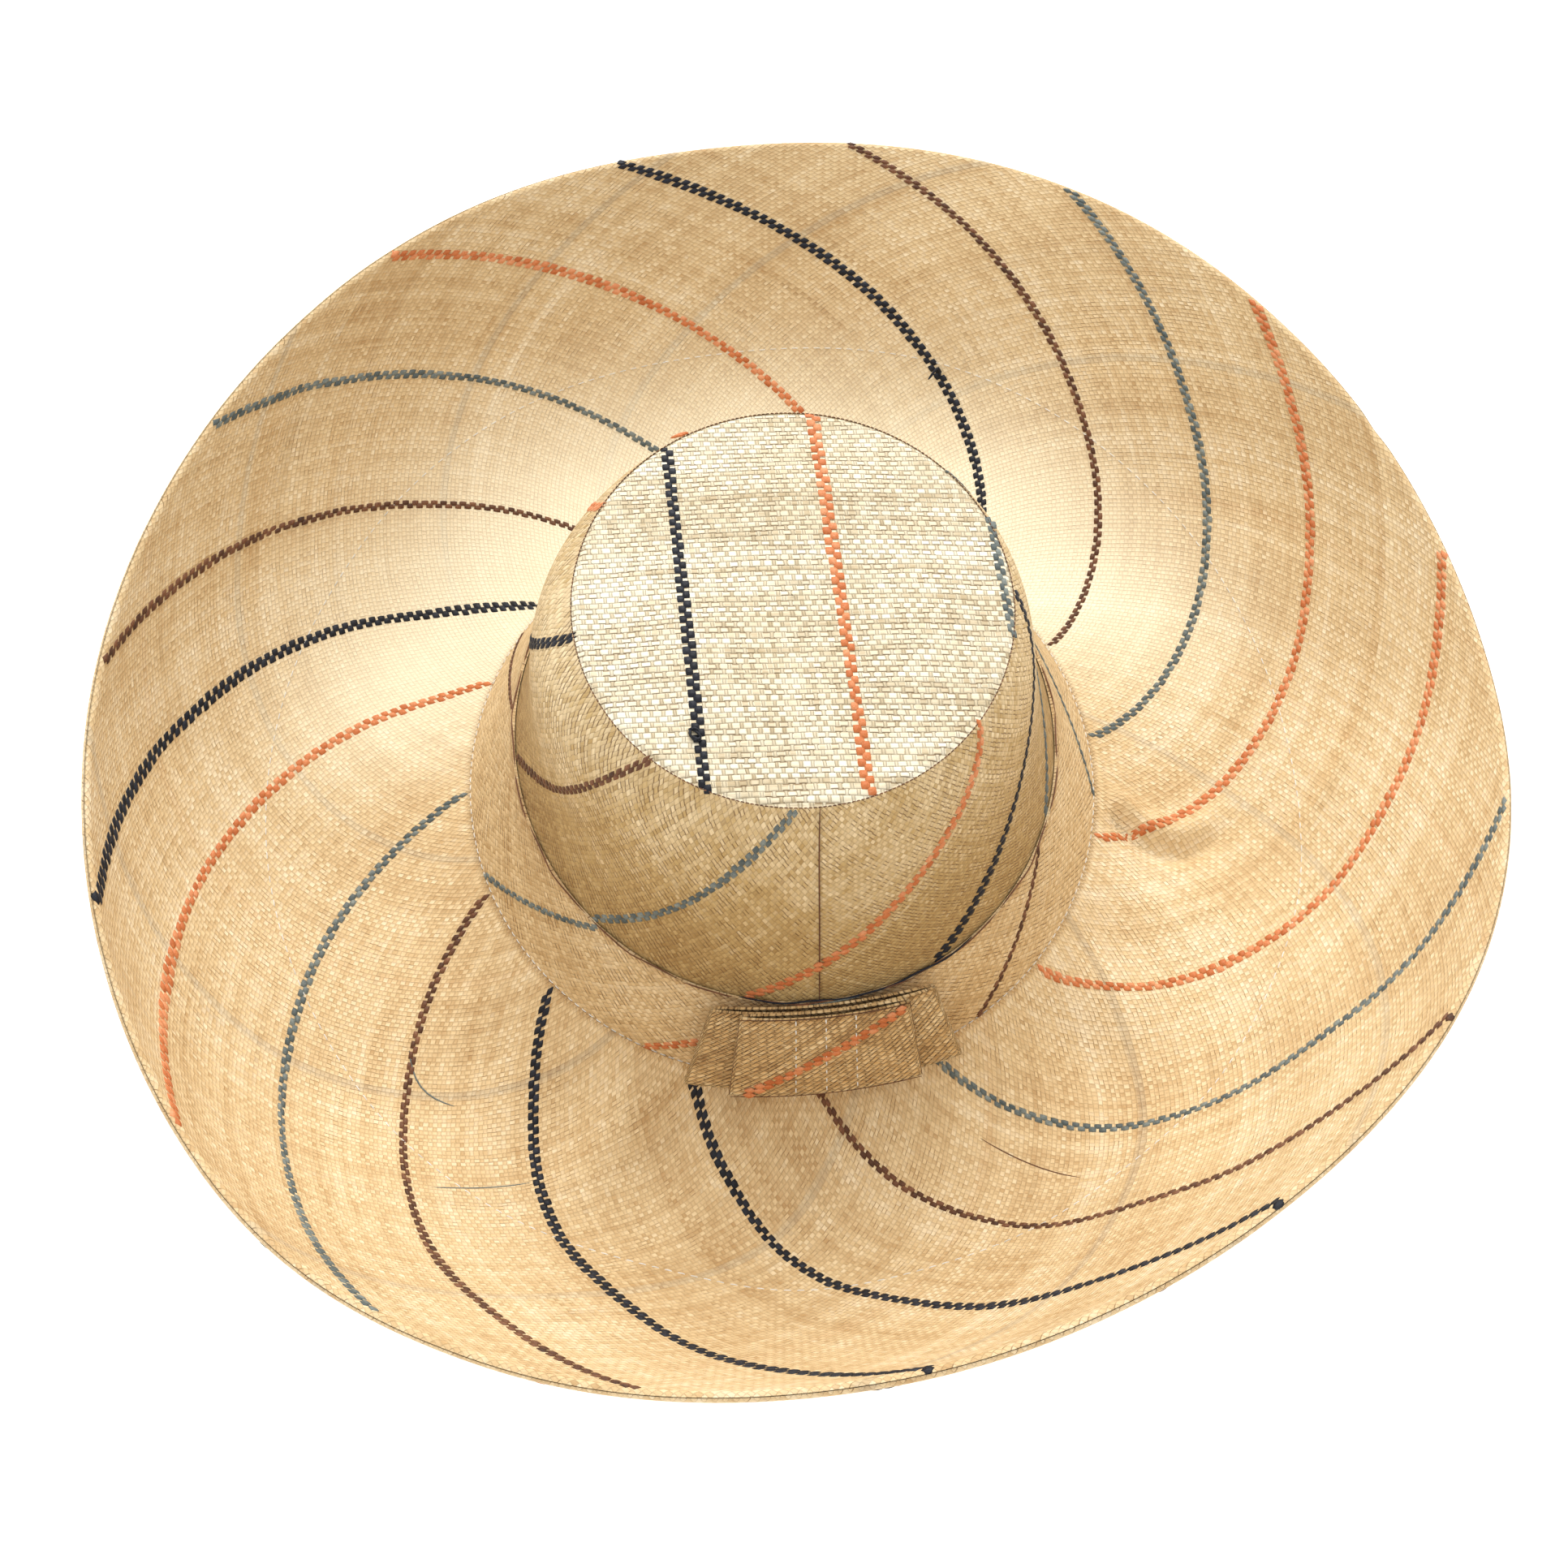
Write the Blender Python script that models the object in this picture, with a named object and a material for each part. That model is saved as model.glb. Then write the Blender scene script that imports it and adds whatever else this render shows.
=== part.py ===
"""Wide-brimmed raffia sun hat, one object for each cut piece of cloth and each line of thread.

The hat is built around its own crown: +Z is up, -Y is the front, where the bow sits.
It is designed with z = 0 where the crown meets the brim, and everything is parented to
one empty, which lifts the finished hat so that it stands on z = 0 around the origin.

Run:  blender --background --python part.py
"""

from math import cos, pi, radians, sin

import bmesh
import bpy
from mathutils import Vector

# ---------------------------------------------------------------- driving dimensions (metres)
CLOTH = 0.0009            # one layer of woven raffia
GAP = 0.0003              # clearance between cloth layers that touch

# Crown: half widths (side to side, front to back) and heights of its three rings.
FOOT_RING = (0.0908, 0.0952)          # where the side meets the brim
BAND_RING = (0.0756, 0.0853)          # under the top edge of the hat band
TIP_RING = (0.0582, 0.0626)           # the seam around the tip
BAND_HEIGHT = 0.028
CROWN_HEIGHT = 0.0907
CROWN_LEAN = 0.0030                   # the tip sits this far towards +X
TIP_DOME = 0.0022                     # rise of the tip from its seam to its flat middle
TIP_FLAT = 0.45                       # share of the tip's radius that is flat
SIDE_BULGE = (0.0045, 0.0085)         # how far the soft side swells out towards +X and -X
BACK_BULGE = 0.0020                   # and towards the back
BULGE_POWER = 4                       # it swells most at 4/5 of the crown's height
SEAM_ANGLE = -92.0                    # the crown's front seam, in degrees around the crown
SWEATBAND_HEIGHT = 0.030

# Brim: each section falls away from the crown, levels out and turns up to the rim.
# Clock angle (degrees, 0 = +X, 90 = back): cloth width, then the slope in degrees at the
# crown, halfway across and at the rim. The slope changes evenly between those three.
BRIM_SECTIONS = {
    0: (0.125, -27, 26, 49), 30: (0.126, -19, 32, 48), 60: (0.128, -16, 42, 26),
    90: (0.126, -24, 44, 44), 120: (0.126, -18, 39, 72), 150: (0.124, -24, 38, 70),
    180: (0.123, -19, 15, 77), 210: (0.123, -32, 9, 67), 240: (0.126, -39, 34, 52),
    270: (0.129, -39, 36, 69), 300: (0.130, -39, 42, 63), 330: (0.130, -29, 33, 58),
}
BRIM_RING = (0.0920, 0.0964)          # inner edge of the brim
BRIM_LAYER_OFFSET = 0.0005            # half the room between the two layers
BRIM_STITCH_SHARE = 0.49              # stitched ring, as a share of the way across
PANELS = 4                            # bias-cut panels in each layer of the brim
PANEL_START = 110.0                   # clock angle at the rim of the first top seam
SWIRL = 56.0                          # degrees that a bias thread turns across the brim
SWIRL_BEND = 0.41                     # how much faster it turns near the rim

# Bow: two flat loops on the front of the band, the narrower one on top.
BOW_MIDDLE = -0.0020                  # its middle, around the crown from the front
BOW_FLATNESS = 0.7                    # 0 follows the crown's curve, 1 is flat
BACK_LOOP_HALF = (0.0378, 0.0317)     # half widths along the lower and the upper edge
FRONT_LOOP_HALF = (0.0257, 0.0234)
BOW_STITCH_STEP = 0.0081              # between the three rows of stitching
THREAD = 0.00035                      # radius of a line of stitching

RING_STEPS = 48
BRIM_STEPS = 12                       # faces across the brim
PANEL_FACES = 15                      # faces around one brim panel


# ---------------------------------------------------------------- small helpers
def clear_scene():
    for thing in list(bpy.data.objects):
        bpy.data.objects.remove(thing, do_unlink=True)


def material(name, colour, roughness=0.85):
    """A matt cloth or thread colour."""
    made = bpy.data.materials.new(name)
    made.use_nodes = True
    shader = made.node_tree.nodes["Principled BSDF"]
    shader.inputs["Base Color"].default_value = (*colour, 1.0)
    shader.inputs["Roughness"].default_value = roughness
    shader.inputs["Metallic"].default_value = 0.0
    made.diffuse_color = (*colour, 1.0)
    return made


def finish(name, bm, look, hat):
    """Turn a bmesh into a smooth-shaded object that hangs on the hat's empty."""
    bmesh.ops.recalc_face_normals(bm, faces=bm.faces)
    bmesh.ops.triangulate(bm, faces=bm.faces)
    mesh = bpy.data.meshes.new(name)
    bm.to_mesh(mesh)
    bm.free()
    mesh.shade_smooth()
    mesh.set_sharp_from_angle(angle=radians(40.0))
    mesh.materials.append(look)
    made = bpy.data.objects.new(name, mesh)
    bpy.context.collection.objects.link(made)
    made.parent = hat
    return made


def skin_between(name, lower, upper, look, hat, closed=False):
    """Cloth between two grids of points: rows[i][j], i along the piece, j across it."""
    bm = bmesh.new()
    grids = [[[bm.verts.new(p) for p in row] for row in grid] for grid in (lower, upper)]
    rows, columns = len(lower), len(lower[0])
    last = rows if closed else rows - 1
    for i in range(last):
        k = (i + 1) % rows
        for j in range(columns - 1):
            for grid in grids:
                bm.faces.new((grid[i][j], grid[k][j], grid[k][j + 1], grid[i][j + 1]))
        for j in (0, columns - 1):
            bm.faces.new((grids[0][i][j], grids[0][k][j], grids[1][k][j], grids[1][i][j]))
    if not closed:
        for i in (0, rows - 1):
            for j in range(columns - 1):
                bm.faces.new((grids[0][i][j], grids[0][i][j + 1],
                              grids[1][i][j + 1], grids[1][i][j]))
    return finish(name, bm, look, hat)


def thread(name, points, normals, look, hat, closed):
    """A line of thread with a four-sided section along the points."""
    sides = 4
    bm = bmesh.new()
    rings = []
    count = len(points)
    for i, (point, normal) in enumerate(zip(points, normals)):
        before = points[i - 1] if closed or i > 0 else point
        after = points[(i + 1) % count] if closed or i < count - 1 else point
        along = (after - before).normalized()
        across = along.cross(normal).normalized()
        rings.append([bm.verts.new(point + THREAD * (cos(a) * normal + sin(a) * across))
                      for a in (2.0 * pi * side / sides for side in range(sides))])
    last = count if closed else count - 1
    for i in range(last):
        here, there = rings[i], rings[(i + 1) % count]
        for side in range(sides):
            turn = (side + 1) % sides
            bm.faces.new((here[side], there[side], there[turn], here[turn]))
    if not closed:
        bm.faces.new(rings[0])
        bm.faces.new(rings[-1])
    return finish(name, bm, look, hat)


# ---------------------------------------------------------------- the crown's surface
def through(share, foot, band, tip):
    """A quadratic that takes the three rings' values at their own heights."""
    at_band = BAND_HEIGHT / CROWN_HEIGHT
    bend = ((band - foot) / at_band - (tip - foot)) / (at_band - 1.0)
    return foot + share * (tip - foot - bend) + bend * share * share


def crown_ring(share):
    """Half widths of the crown's side at a share of its height, before it swells."""
    return (through(share, FOOT_RING[0], BAND_RING[0], TIP_RING[0]),
            through(share, FOOT_RING[1], BAND_RING[1], TIP_RING[1]))


def crown_frame(angle, share):
    """A point on the outside of the crown's side."""
    wide, deep = crown_ring(share)
    most = BULGE_POWER / (BULGE_POWER + 1.0)
    swell = share ** BULGE_POWER * (1.0 - share) / (most ** BULGE_POWER * (1.0 - most))
    left, right = SIDE_BULGE
    wide += swell * 0.5 * (left + right + (left - right) * cos(angle))
    deep += swell * BACK_BULGE * max(sin(angle), 0.0)
    return Vector((CROWN_LEAN * share + wide * cos(angle), deep * sin(angle),
                   CROWN_HEIGHT * share))


def on_crown(angle, share, lift=0.0):
    """A point on the outside of the crown's side, or lift above it."""
    return crown_frame(angle, share) + lift * crown_normal(angle, share)


def crown_normal(angle, share):
    step = 0.01
    rise = crown_frame(angle, share) - crown_frame(angle, share - step)
    around = crown_frame(angle + step, share) - crown_frame(angle - step, share)
    return around.cross(rise).normalized()


def crown_cloth(name, start, end, low, high, layer, look, hat, across=9):
    """Cloth on the crown's side; layer 0 is the side itself, 1 lies outside it, -1 inside."""
    inner = layer * (CLOTH + GAP) - CLOTH
    closed = end - start >= 2.0 * pi - 1e-6
    steps = round(RING_STEPS * (end - start) / (2.0 * pi))
    angles = [start + (end - start) * i / steps for i in range(steps + (not closed))]
    shares = [low + (high - low) * j / across for j in range(across + 1)]
    grids = [[[on_crown(a, share, lift) for share in shares] for a in angles]
             for lift in (inner, inner + CLOTH)]
    return skin_between(name, *grids, look, hat, closed=closed)


# ---------------------------------------------------------------- the tip
def tip_height(radius):
    """Height of the tip's top over its seam, at a share of its radius."""
    if radius <= TIP_FLAT:
        return TIP_DOME
    fall = (radius - TIP_FLAT) / (1.0 - TIP_FLAT)
    return TIP_DOME * 0.5 * (1.0 + cos(pi * fall))


def disc(name, inset, top, look, hat):
    """A domed oval disc of cloth whose flat middle is exactly level."""
    wide, deep = TIP_RING[0] - inset, TIP_RING[1] - inset
    radii = (TIP_FLAT, 0.65, 0.85, 1.0)
    bm = bmesh.new()
    rims = []
    for floor in (top - CLOTH, top):
        rings = []
        for radius in radii:
            rings.append([bm.verts.new((CROWN_LEAN + wide * radius * cos(a),
                                        deep * radius * sin(a), floor + tip_height(radius)))
                          for a in (2.0 * pi * i / RING_STEPS for i in range(RING_STEPS))])
        bm.faces.new(rings[0])
        for small, large in zip(rings, rings[1:]):
            for i in range(RING_STEPS):
                k = (i + 1) % RING_STEPS
                bm.faces.new((small[i], large[i], large[k], small[k]))
        rims.append(rings[-1])
    for i in range(RING_STEPS):
        k = (i + 1) % RING_STEPS
        bm.faces.new((rims[0][i], rims[0][k], rims[1][k], rims[1][i]))
    return finish(name, bm, look, hat)


# ---------------------------------------------------------------- the brim's surface
def brim_station(angle):
    """Cloth width and three slopes at a clock angle, on a smooth curve through the stations."""
    spacing = 360 // len(BRIM_SECTIONS)
    turn = (angle * 180.0 / pi) % 360.0
    first, share = int(turn // spacing), turn % spacing / spacing
    around = [BRIM_SECTIONS[(first + k) * spacing % 360] for k in (-1, 0, 1, 2)]
    values = []
    for a, b, c, d in zip(*around):
        cubic = 2 * a - 5 * b + 4 * c - d + share * (3 * (b - c) + d - a)
        values.append(b + 0.5 * share * (c - a + share * cubic))
    return values[0], [radians(slope) for slope in values[1:]]


def run_and_rise(start, end, share):
    """How far an arc of unit length goes out and up, whose slope turns from start to end."""
    bend = end - start
    if abs(bend) < 1e-4:
        return share * cos(start), share * sin(start)
    here = start + bend * share
    return (sin(here) - sin(start)) / bend, (cos(start) - cos(here)) / bend


def brim_frame(angle, share):
    """A point on the brim's middle surface, at a share of the cloth's width."""
    width, (crown, middle, rim) = brim_station(angle)
    out, rise = run_and_rise(crown, middle, min(2.0 * share, 1.0))
    if share > 0.5:
        far_out, far_rise = run_and_rise(middle, rim, 2.0 * share - 1.0)
        out, rise = out + far_out, rise + far_rise
    reach = 0.5 * width * out
    return Vector(((BRIM_RING[0] + reach) * cos(angle), (BRIM_RING[1] + reach) * sin(angle),
                   0.5 * width * rise))


def on_brim(angle, share, lift=0.0):
    """A point on the brim's middle surface, or lift above it."""
    step = 0.004
    around = brim_frame(angle + step, share) - brim_frame(angle - step, share)
    outward = brim_frame(angle, share + step) - brim_frame(angle, share - step)
    normal = outward.cross(around).normalized()
    return brim_frame(angle, share) + lift * normal, normal


def swirl(share):
    """How far a bias thread is behind its place at the rim, in radians."""
    left = 1.0 - share
    return radians(SWIRL) * left * (1.0 + SWIRL_BEND * (1.0 - left))


def brim_panel(name, number, side, look, hat):
    """One panel; its two seams run along the bias threads, which cross under side -1."""
    span = 2.0 * pi / PANELS
    start = side * (radians(PANEL_START) - number * span)
    shares = [0.006 + (0.998 - 0.006) * j / BRIM_STEPS for j in range(BRIM_STEPS + 1)]
    low = BRIM_LAYER_OFFSET if side > 0 else -BRIM_LAYER_OFFSET - CLOTH
    seam_gap = 0.6 * GAP
    grids = []
    for lift in (low, low + CLOTH):
        rows = []
        for i in range(PANEL_FACES + 1):
            row = []
            for share in shares:
                radius = BRIM_RING[0] + 0.11 * share
                inset = seam_gap / radius
                turn = -inset - (span - 2.0 * inset) * i / PANEL_FACES
                row.append(on_brim(side * (start * side + turn - swirl(share)), share, lift)[0])
            rows.append(row)
        grids.append(rows)
    return skin_between(name, *grids, look, hat)


# ---------------------------------------------------------------- the bow
def bow_rise(along, deep):
    """How far the flat bow stands off the crown, at a distance from the bow's middle."""
    return BOW_FLATNESS * along * along / (2.0 * deep)


def bow_loop(name, halves, low, high, near, far, look, hat):
    """A flattened loop of cloth on the front of the band, open at its top and bottom.

    near and far are the lifts of its back, at the lower and the upper edge.
    """
    across, up, ends = 8, 3, 3
    depth = 2.0 * CLOTH + 2.0 * GAP
    bm = bmesh.new()
    walls = []
    for shell in (0.0, CLOTH):
        radius = 0.5 * depth - shell
        rows = []
        for j in range(up + 1):
            rise = j / up
            share = (low + (high - low) * rise) / CROWN_HEIGHT
            half = halves[0] + (halves[1] - halves[0]) * rise - 0.5 * depth
            middle = near + (far - near) * rise + 0.5 * depth
            profile = []
            for direction in (1, -1):
                for k in range(across + 1):
                    profile.append((direction * half * (2.0 * k / across - 1.0),
                                    middle - direction * radius))
                for k in range(1, ends + 1):
                    turn = pi * k / (ends + 1)
                    profile.append((direction * (half + radius * sin(turn)),
                                    middle - direction * radius * cos(turn)))
            ring = []
            for along, lift in profile:
                deep = crown_ring(share)[1]
                angle = -0.5 * pi + (BOW_MIDDLE + along) / deep
                ring.append(bm.verts.new(on_crown(angle, share, lift + bow_rise(along, deep))))
            rows.append(ring)
        walls.append(rows)
    around = len(walls[0][0])
    for i in range(around):
        k = (i + 1) % around
        for rows in walls:
            for j in range(up):
                bm.faces.new((rows[j][i], rows[j][k], rows[j + 1][k], rows[j + 1][i]))
        for j in (0, up):
            bm.faces.new((walls[0][j][i], walls[0][j][k], walls[1][j][k], walls[1][j][i]))
    return finish(name, bm, look, hat)


# ---------------------------------------------------------------- the hat
def build_crown(raffia, pale, hat):
    start, whole = radians(SEAM_ANGLE), 2.0 * pi
    back = start + pi
    seam = radians(0.15)
    disc("crown_tip", 0.0, CROWN_HEIGHT + GAP + CLOTH, pale, hat)
    disc("crown_tip_lining", 2.0 * (CLOTH + GAP) + GAP, CROWN_HEIGHT, pale, hat)
    for name, first in (("right", start), ("left", back)):
        ends = (first + seam, first + pi - seam)
        crown_cloth("crown_side_" + name, *ends, 0.0, 1.0, 0, raffia, hat)
        crown_cloth("crown_lining_" + name, *ends, 0.01, 0.995, -1, pale, hat)
    top = SWEATBAND_HEIGHT / CROWN_HEIGHT
    crown_cloth("sweatband", start, start + whole, 0.02, top, -2, pale, hat, across=2)


def build_band(raffia, white, hat):
    start, whole = radians(SEAM_ANGLE), 2.0 * pi
    top = BAND_HEIGHT / CROWN_HEIGHT
    crown_cloth("hat_band", start, start + whole, 0.004, top, 1, raffia, hat, across=2)
    steps = 2 * RING_STEPS
    lift = 2.0 * GAP + CLOTH + THREAD
    angles = [start + whole * i / steps for i in range(steps)]
    share = 0.0024 / CROWN_HEIGHT
    thread("band_stitching", [on_crown(a, share, lift) for a in angles],
           [crown_normal(a, share) for a in angles], white, hat, closed=True)


def build_brim(raffia, white, hat):
    for number in range(PANELS):
        brim_panel(f"brim_top_panel_{number + 1}", number, 1, raffia, hat)
        brim_panel(f"brim_under_panel_{number + 1}", number, -1, raffia, hat)
    steps = 2 * RING_STEPS
    lift = BRIM_LAYER_OFFSET + CLOTH + 2.0 * GAP + THREAD
    ring = [on_brim(2.0 * pi * i / steps, BRIM_STITCH_SHARE, lift) for i in range(steps)]
    thread("brim_stitching", [p for p, n in ring], [n for p, n in ring], white, hat, closed=True)


def build_bow(raffia, white, hat):
    behind = CLOTH + 3.0 * GAP
    depth = 2.0 * CLOTH + 2.0 * GAP
    bow_loop("bow_back_loop", BACK_LOOP_HALF, 0.0022, 0.0272,
             behind + 0.0012, behind, raffia, hat)
    front = behind + depth + 1.5 * GAP
    bow_loop("bow_front_loop", FRONT_LOOP_HALF, 0.0024, 0.0270,
             front + 0.0016, front, raffia, hat)
    for row in range(3):
        along = BOW_STITCH_STEP * (row - 1)
        points, normals = [], []
        for k in range(7):
            rise = k / 6
            share = (0.0032 + 0.0230 * rise) / CROWN_HEIGHT
            deep = crown_ring(share)[1]
            lift = (front + 0.0016 * (1.0 - rise) + depth + 1.6 * GAP + THREAD
                    + bow_rise(along, deep))
            angle = -0.5 * pi + (BOW_MIDDLE + along) / deep
            points.append(on_crown(angle, share, lift))
            normals.append(crown_normal(angle, share))
        thread(f"bow_stitching_{row + 1}", points, normals, white, hat, closed=False)


def main():
    clear_scene()
    raffia = material("woven raffia", (0.62, 0.44, 0.24))
    pale = material("pale raffia", (0.76, 0.66, 0.46))
    white = material("white thread", (0.86, 0.84, 0.78), roughness=0.7)
    hat = bpy.data.objects.new("hat", None)
    bpy.context.collection.objects.link(hat)
    build_crown(raffia, pale, hat)
    build_band(raffia, white, hat)
    build_brim(raffia, white, hat)
    build_bow(raffia, white, hat)
    corners = [Vector(v.co) for thing in bpy.data.objects if thing.type == "MESH"
               for v in thing.data.vertices]
    low = Vector(min(c[axis] for c in corners) for axis in range(3))
    high = Vector(max(c[axis] for c in corners) for axis in range(3))
    hat.location = (-0.5 * (low.x + high.x), -0.5 * (low.y + high.y), -low.z)


main()
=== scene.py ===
"""Looks of the woven raffia sun hat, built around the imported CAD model.

Lengths are metres and angles are degrees. The hat is described around its own crown, as in
the CAD source: z = 0 where the crown meets the brim, -Y the front. ORIGIN takes it from
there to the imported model's place. Every cloth has two thread families: warp thread u and
weft thread v, counted in threads, which the weave's material reads from the UV map WEAVE.
"""

import bpy
import numpy as np
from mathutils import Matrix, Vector


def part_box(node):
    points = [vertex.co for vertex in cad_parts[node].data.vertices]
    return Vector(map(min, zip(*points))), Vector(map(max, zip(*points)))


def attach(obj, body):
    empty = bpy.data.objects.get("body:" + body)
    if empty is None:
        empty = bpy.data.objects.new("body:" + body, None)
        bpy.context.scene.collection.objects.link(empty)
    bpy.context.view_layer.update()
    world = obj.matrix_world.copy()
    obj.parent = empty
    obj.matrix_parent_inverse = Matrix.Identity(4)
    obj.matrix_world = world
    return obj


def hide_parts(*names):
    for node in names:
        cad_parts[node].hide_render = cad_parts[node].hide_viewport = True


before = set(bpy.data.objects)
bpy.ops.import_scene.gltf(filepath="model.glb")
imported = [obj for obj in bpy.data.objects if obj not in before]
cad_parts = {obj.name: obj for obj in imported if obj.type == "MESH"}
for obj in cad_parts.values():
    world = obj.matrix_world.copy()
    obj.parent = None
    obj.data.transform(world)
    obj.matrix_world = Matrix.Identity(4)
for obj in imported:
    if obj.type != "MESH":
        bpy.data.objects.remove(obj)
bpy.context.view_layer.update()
TIP_LOW, TIP_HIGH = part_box("crown_tip")
dice = np.random.default_rng(7)

# -------------------------------- dimensions, as in the CAD source
CLOTH, GAP = 0.0009, 0.0003
FOOT_RING, BAND_RING, TIP_RING = (0.0908, 0.0952), (0.0756, 0.0853), (0.0582, 0.0626)
BAND_HEIGHT, CROWN_HEIGHT, CROWN_LEAN = 0.028, 0.0907, 0.0030
BAND_TOP = BAND_HEIGHT / CROWN_HEIGHT
TIP_DOME, TIP_FLAT, TIP_DENT = 0.0022, 0.45, 0.0005
SIDE_BULGE, BACK_BULGE, BULGE_POWER = (0.0045, 0.0085), 0.0020, 4
SEAM_ANGLE, SEAM_SINK = -92.0, 0.0004
SWEATBAND_HEIGHT = 0.030
# The brim every 30 degrees from +X: the cloth's width, and its slope at the crown, halfway
# and at the rim.
BRIM_SECTIONS = (
    (0.125, -27, 26, 49), (0.126, -19, 32, 48), (0.128, -16, 42, 26),
    (0.126, -24, 44, 44), (0.126, -18, 39, 72), (0.124, -24, 38, 70),
    (0.123, -19, 15, 77), (0.123, -32, 9, 67), (0.126, -39, 34, 52),
    (0.129, -39, 36, 69), (0.130, -39, 42, 63), (0.130, -29, 33, 58))
BRIM_RING = (0.0920, 0.0964)
LAYER_OFFSET = 0.0005
BRIM_WIDTH, RIM_RADIUS = 0.126, 0.0014   # the cloth's usual width, and its rolled edge
BRIM_START, RIM_SHARE = -0.010, 0.998    # shares of its width where it starts and ends
PANELS, PANEL_START = 4, 110.0
SWIRL, SWIRL_BEND = 56.0, 0.41
STITCH_SHARE = 0.49
BOW_MIDDLE, BOW_FLATNESS = -0.0020, 0.7
BACK_LOOP = dict(halves=(0.0378, 0.0317), low=0.0022, high=0.0278, flare=0.0012)
FRONT_LOOP = dict(halves=(0.0257, 0.0234), low=0.0024, high=0.0283, flare=0.0016)
TIP_TOP = CROWN_HEIGHT + GAP + CLOTH
ORIGIN = np.array([(TIP_LOW.x + TIP_HIGH.x) / 2 - CROWN_LEAN, (TIP_LOW.y + TIP_HIGH.y) / 2,
                   TIP_HIGH.z - TIP_TOP - TIP_DOME])

# -------------------------------- threads
BRIM_THREADS = 485 / 360.0            # threads per degree around the rim, in each family
CROWN_THREADS = 0.72                  # threads per degree around the crown
BAND_THREADS = 0.66
BAND_SLANT = 95.0                     # degrees round the crown per share of its height
BIAS = {"right": (60.0, 45.0), "left": (47.0, 24.0)}    # lean and bend of the side's threads
TIP_WARP, TIP_WEFT = 0.0015, 0.0016   # pitch of the tip's coarser threads
TIP_WARP_LEAN, TIP_WEFT_LEAN = 0.026, -0.114
BOW_PITCH = 0.00115
LINING_PITCH, LINING_ROWS = 1.4, 66.0    # degrees for each thread, threads in the crown's height
SWEATBAND_THREADS = 0.9
# Dyed stripes of the brim's top layer: colour and place at the rim, panel by panel.
BRIM_STRIPES = (
    (("black", 97.7), ("brown", 76.2), ("grey", 56.1), ("orange", 36.0)),
    (("orange", 8.2), ("grey", -16.4), ("brown", -36.9), ("black", -57.8)),
    (("black", -86.8), ("brown", -107.9), ("grey", -128.3), ("orange", -151.3)),
    (("black", -170.1), ("brown", -190.3), ("grey", -214.0), ("orange", -237.8)))
UNDER_SHIFT = 5.0                     # the under layer has the mirror image, turned this much
BARE_FOOT, BARE_RIM, BARE_UNDER_RIM = 0.4, 1.5, 3.6    # stripes end short: degrees, threads
# Stripes of the crown's side and of the band: colour, and the thread's angle at the tip's seam
# or at the band's foot.
SIDE_FOOT = 0.31                      # share of the crown's height where the side's ones start
SIDE_STRIPES = {
    "right": (("orange", -44.0), ("black", -4.0), ("grey", 36.0)),
    "left": (("grey", -98.0), ("brown", -137.0), ("black", -177.0), ("orange", -217.0))}
BAND_STRIPES = (("grey", -168.5), ("orange", -124.0), ("grey", -13.0), ("brown", -63.0),
                ("black", 40.0), ("orange", 92.0), ("brown", 140.0))
# Stripes of the tip: colour, x in the middle, and width.
TIP_STRIPES = (("black", -0.0253, 0.0028), ("orange", 0.0153, 0.0031), ("grey", 0.0584, 0.0022))
YARN = {"black": 0.0030, "brown": 0.0021, "grey": 0.0022, "orange": 0.0026}   # stripes' widths
YARN_PITCH, YARN_HEIGHT = 0.00150, 0.00042    # length and height of one float of their yarns
YARN_REACH = 0.76                     # share of the pitch on each side of a float's middle
YARN_SUNK, CROWN_YARN_SUNK = -0.00003, -0.00004
STITCH_SINK = 0.0004                  # depth to which the ends of a white stitch dive


# -------------------------------- surfaces
def cos(degrees):
    return np.cos(np.radians(degrees))


def sin(degrees):
    return np.sin(np.radians(degrees))


def pack(*parts):
    return np.stack(np.broadcast_arrays(*parts), axis=-1)


def unit(vectors):
    return vectors / np.linalg.norm(vectors, axis=-1, keepdims=True)


def bell(x, middle, spread):
    """A smooth bump of height 1."""
    return np.exp(-((x - middle) / spread) ** 2)


def ramp(x, low, high):
    """Smooth step from 0 at low to 1 at high."""
    t = np.clip((x - low) / (high - low), 0.0, 1.0)
    return t * t * (3.0 - 2.0 * t)


def through(share, foot, band, tip):
    """A quadratic that takes the three rings' values at their own heights."""
    bend = ((band - foot) / BAND_TOP - (tip - foot)) / (BAND_TOP - 1.0)
    return foot + share * (tip - foot - bend) + bend * share * share


def crown_halves(share):
    """Half widths of the crown's oval at a share of its height, before it swells."""
    return [through(share, *halves) for halves in zip(FOOT_RING, BAND_RING, TIP_RING)]


def crown_frame(angle, share):
    """A point on the crown's side: an oval that tapers, leans and swells under the tip."""
    wide, deep = crown_halves(share)
    most = BULGE_POWER / (BULGE_POWER + 1.0)
    swell = share ** BULGE_POWER * (1.0 - share) / (most ** BULGE_POWER * (1.0 - most))
    left, right = SIDE_BULGE
    wide = wide + swell * 0.5 * (left + right + (left - right) * cos(angle))
    deep = deep + swell * BACK_BULGE * np.maximum(sin(angle), 0.0)
    return pack(CROWN_LEAN * share + wide * cos(angle), deep * sin(angle), CROWN_HEIGHT * share)


def on_crown(angle, share, lift=0.0):
    """A point on the outside of the crown's side, or lift above it."""
    angle, share, lift = np.broadcast_arrays(angle, share, lift)
    rise = crown_frame(angle, share) - crown_frame(angle, share - 0.01)
    around = crown_frame(angle + 0.5, share) - crown_frame(angle - 0.5, share)
    normal = unit(np.cross(around, rise))
    return crown_frame(angle, share) + lift[..., None] * normal


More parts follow.
